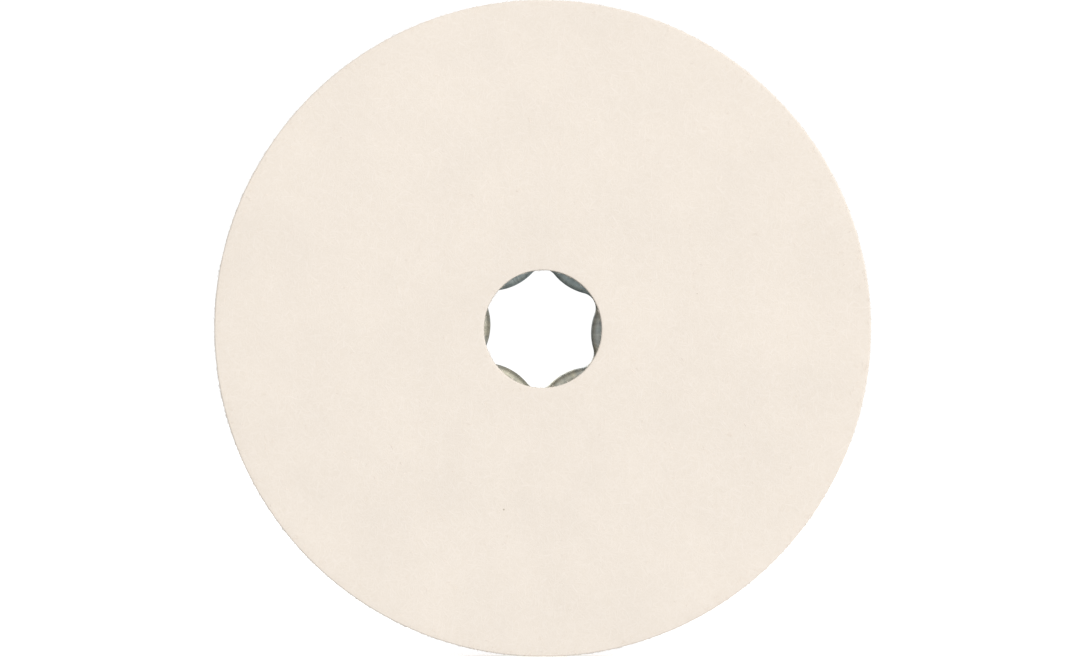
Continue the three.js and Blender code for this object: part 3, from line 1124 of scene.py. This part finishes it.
class MakeHub(bpy.types.Operator):
    """Makes the lobed hub ring and the clamp ring"""

    bl_idname = "felt_disc.make_hub"
    bl_label = "Steel Hub"

    def execute(self, context):
        size = context.scene.felt_disc.hub
        steel = zinc_plated_steel(size)
        self.make_hub_ring(size, steel)
        self.make_clamp_ring(size, steel)
        return {"FINISHED"}

    def make_hub_ring(self, size, steel):
        """Flange, lobed throat and rolled lip, drawn from one sheet."""
        throat = size.lug_radius + size.sheet / 2
        flange_level = HUB_LOW.y + size.sheet / 2
        lip_level = HUB_HIGH.y - size.sheet / 2
        section = bent_sheet(
            [
                (LIP_RADIUS, lip_level, 0.05),
                (throat, lip_level, 1.0),
                (throat, flange_level, 1.0),
                (FLANGE_RADIUS, flange_level, 0.0),
            ],
            size.sheet, size.bend, steps=12, arris=size.arris,
        )
        hub = new_piece("steel_hub", turned("steel_hub", section, segments=432), steel)
        run_nodes(hub, lobed_throat_tree(), {
            "Lobes": size.lobes,
            "Lug Radius": size.lug_radius,
            "Lobe Depth": size.lobe_depth,
            "Lobe Rounding": size.lobe_round,
            "Turn": size.turn,
            "Material": steel,
        })
        place_piece(hub, "plated_steel", "hub_ring")

    def make_clamp_ring(self, size, steel):
        """Foot on the fibre, step, seat that the tool bears on, and skirt."""
        half = size.sheet / 2
        # The step rises at 45 degrees, 0.3 mm clear of the hub's lip.
        clear = 0.3 * MM
        step_reach = (size.clamp_bend + half) * math.tan(math.pi / 8)
        step_foot = LIP_RADIUS + clear + step_reach
        step_head = step_foot + size.sheet
        skirt = CLAMP_HIGH.x - half
        section = bent_sheet(
            [
                (skirt, CLAMP_LOW.y, 0.0),
                (skirt, CLAMP_HIGH.y - half, 0.0),
                (step_head, CLAMP_HIGH.y - half, 0.0),
                (step_foot, CLAMP_LOW.y + half, 0.0),
                (HUB_HOLE_RADIUS, CLAMP_LOW.y + half, 0.0),
            ],
            size.sheet, size.clamp_bend, steps=10, arris=size.arris,
        )
        ring = turned("steel_clamp_ring", section, segments=360)
        clamp = new_piece("steel_clamp_ring", ring, steel)
        place_piece(clamp, "plated_steel", "clamp_ring")


class SetStage(bpy.types.Operator):
    """Makes the floor, the lights and the camera"""

    bl_idname = "felt_disc.set_stage"
    bl_label = "Stage"

    def execute(self, context):
        size = context.scene.felt_disc.stage
        self.lay_floor(size)
        self.light_room(context.scene, size)
        self.aim_camera(context.scene, size)
        context.scene.view_settings.view_transform = "Standard"
        return {"FINISHED"}

    def lay_floor(self, size):
        """A wide pale floor under the rim, which glows a little so that shadows stay faint."""
        level = FELT_LOW.z
        reach = 12.0
        turns = between(0, FULL_TURN, 96)[:-1]
        ring = [(reach * math.cos(turn), reach * math.sin(turn), level) for turn in turns]
        mesh = bpy.data.meshes.new("floor")
        mesh.from_pydata(ring, [], [tuple(range(len(ring)))])
        material, tree = new_material("pale_painted_floor")
        surface = add(tree, "ShaderNodeBsdfPrincipled", None, {
            "Base Color": tuple(size.floor), "Roughness": 0.9, "Specular IOR Level": 0.1,
            "Emission Color": WHITE, "Emission Strength": 0.49,
        })
        add(tree, "ShaderNodeOutputMaterial", None, {"Surface": surface})
        floor = new_piece("floor", mesh, material)
        # The floor throws no light on the disc. The room's light already counts what it would.
        floor.visible_glossy = False
        floor.visible_diffuse = False

    def light_room(self, scene, size):
        """Even light from all round, a white backdrop, and two large soft lights."""
        world = bpy.data.worlds.new("studio")
        world.use_nodes = True
        tree = world.node_tree
        tree.nodes.clear()
        # The room is brightest to the right, in front of the disc and a little above it.
        bright_side = tuple(Vector((1.2, -1.0, 0.2)).normalized())
        seen = add(tree, "ShaderNodeLightPath").outputs["Is Camera Ray"]
        way = add(tree, "ShaderNodeTexCoord").outputs["Generated"]
        towards = add(tree, "ShaderNodeVectorMath", {"operation": "DOT_PRODUCT"}, {
            0: way, 1: bright_side,
        })
        strength = add(tree, "ShaderNodeMath", {"operation": "MULTIPLY_ADD"}, {
            0: towards.outputs["Value"], 1: size.room_shade, 2: size.room_light,
        })
        room = add(tree, "ShaderNodeBackground", None, {"Color": WHITE, "Strength": strength})
        backdrop = add(tree, "ShaderNodeBackground", None, {"Color": WHITE, "Strength": 1.05})
        both = add(tree, "ShaderNodeMixShader", None, {0: seen, 1: room, 2: backdrop})
        add(tree, "ShaderNodeOutputWorld", None, {"Surface": both})
        scene.world = world
        for name, place, width, power in (
            ("key", (0.8, -1.9, 1.05), 2.2, size.key_light),
            ("back", (-0.9, 1.8, 1.0), 1.5, size.back_light),
        ):
            light = bpy.data.lights.new(name, "AREA")
            light.size = width
            light.energy = power
            lamp = bpy.data.objects.new(name, light)
            lamp.location = place
            lamp.rotation_euler = (-Vector(place)).to_track_quat("-Z", "Y").to_euler()
            lamp.visible_camera = False
            scene.collection.objects.link(lamp)

    def aim_camera(self, scene, size):
        """A long lens square on to the felt's working face."""
        data = bpy.data.cameras.new("camera")
        data.sensor_width = 36
        data.lens = data.sensor_width * size.distance / size.view_width
        data.clip_start = 0.05
        data.clip_end = 100
        camera = bpy.data.objects.new("camera", data)
        camera.location = (
            FELT_CENTRE[0] + size.view_across,
            FELT_LOW.y - size.distance,
            FELT_CENTRE[1] + size.view_up,
        )
        camera.rotation_euler = (QUARTER_TURN, 0, 0)
        scene.collection.objects.link(camera)
        scene.camera = camera


class FeltDiscPanel(bpy.types.Panel):
    """Lists the makers of the disc's pieces."""

    bl_idname = "VIEW3D_PT_felt_disc"
    bl_label = "Felt Disc"
    bl_space_type = "VIEW_3D"
    bl_region_type = "UI"
    bl_category = "Felt Disc"

    def draw(self, context):
        for maker in MAKERS:
            self.layout.operator(maker.bl_idname)


GROUPS = (FeltSettings, BackingSettings, HubSettings, StageSettings, WheelSettings)
MAKERS = (MakeFelt, MakeBacking, MakeHub, SetStage)


def register():
    for kind in (*GROUPS, *MAKERS, FeltDiscPanel):
        bpy.utils.register_class(kind)
    bpy.types.Scene.felt_disc = PointerProperty(type=WheelSettings)


def unregister():
    del bpy.types.Scene.felt_disc
    for kind in reversed((*GROUPS, *MAKERS, FeltDiscPanel)):
        bpy.utils.unregister_class(kind)


def main():
    register()
    bpy.ops.felt_disc.make_felt()
    bpy.ops.felt_disc.make_backing()
    bpy.ops.felt_disc.make_hub()
    bpy.ops.felt_disc.set_stage()


if __name__ == "__main__":
    main()
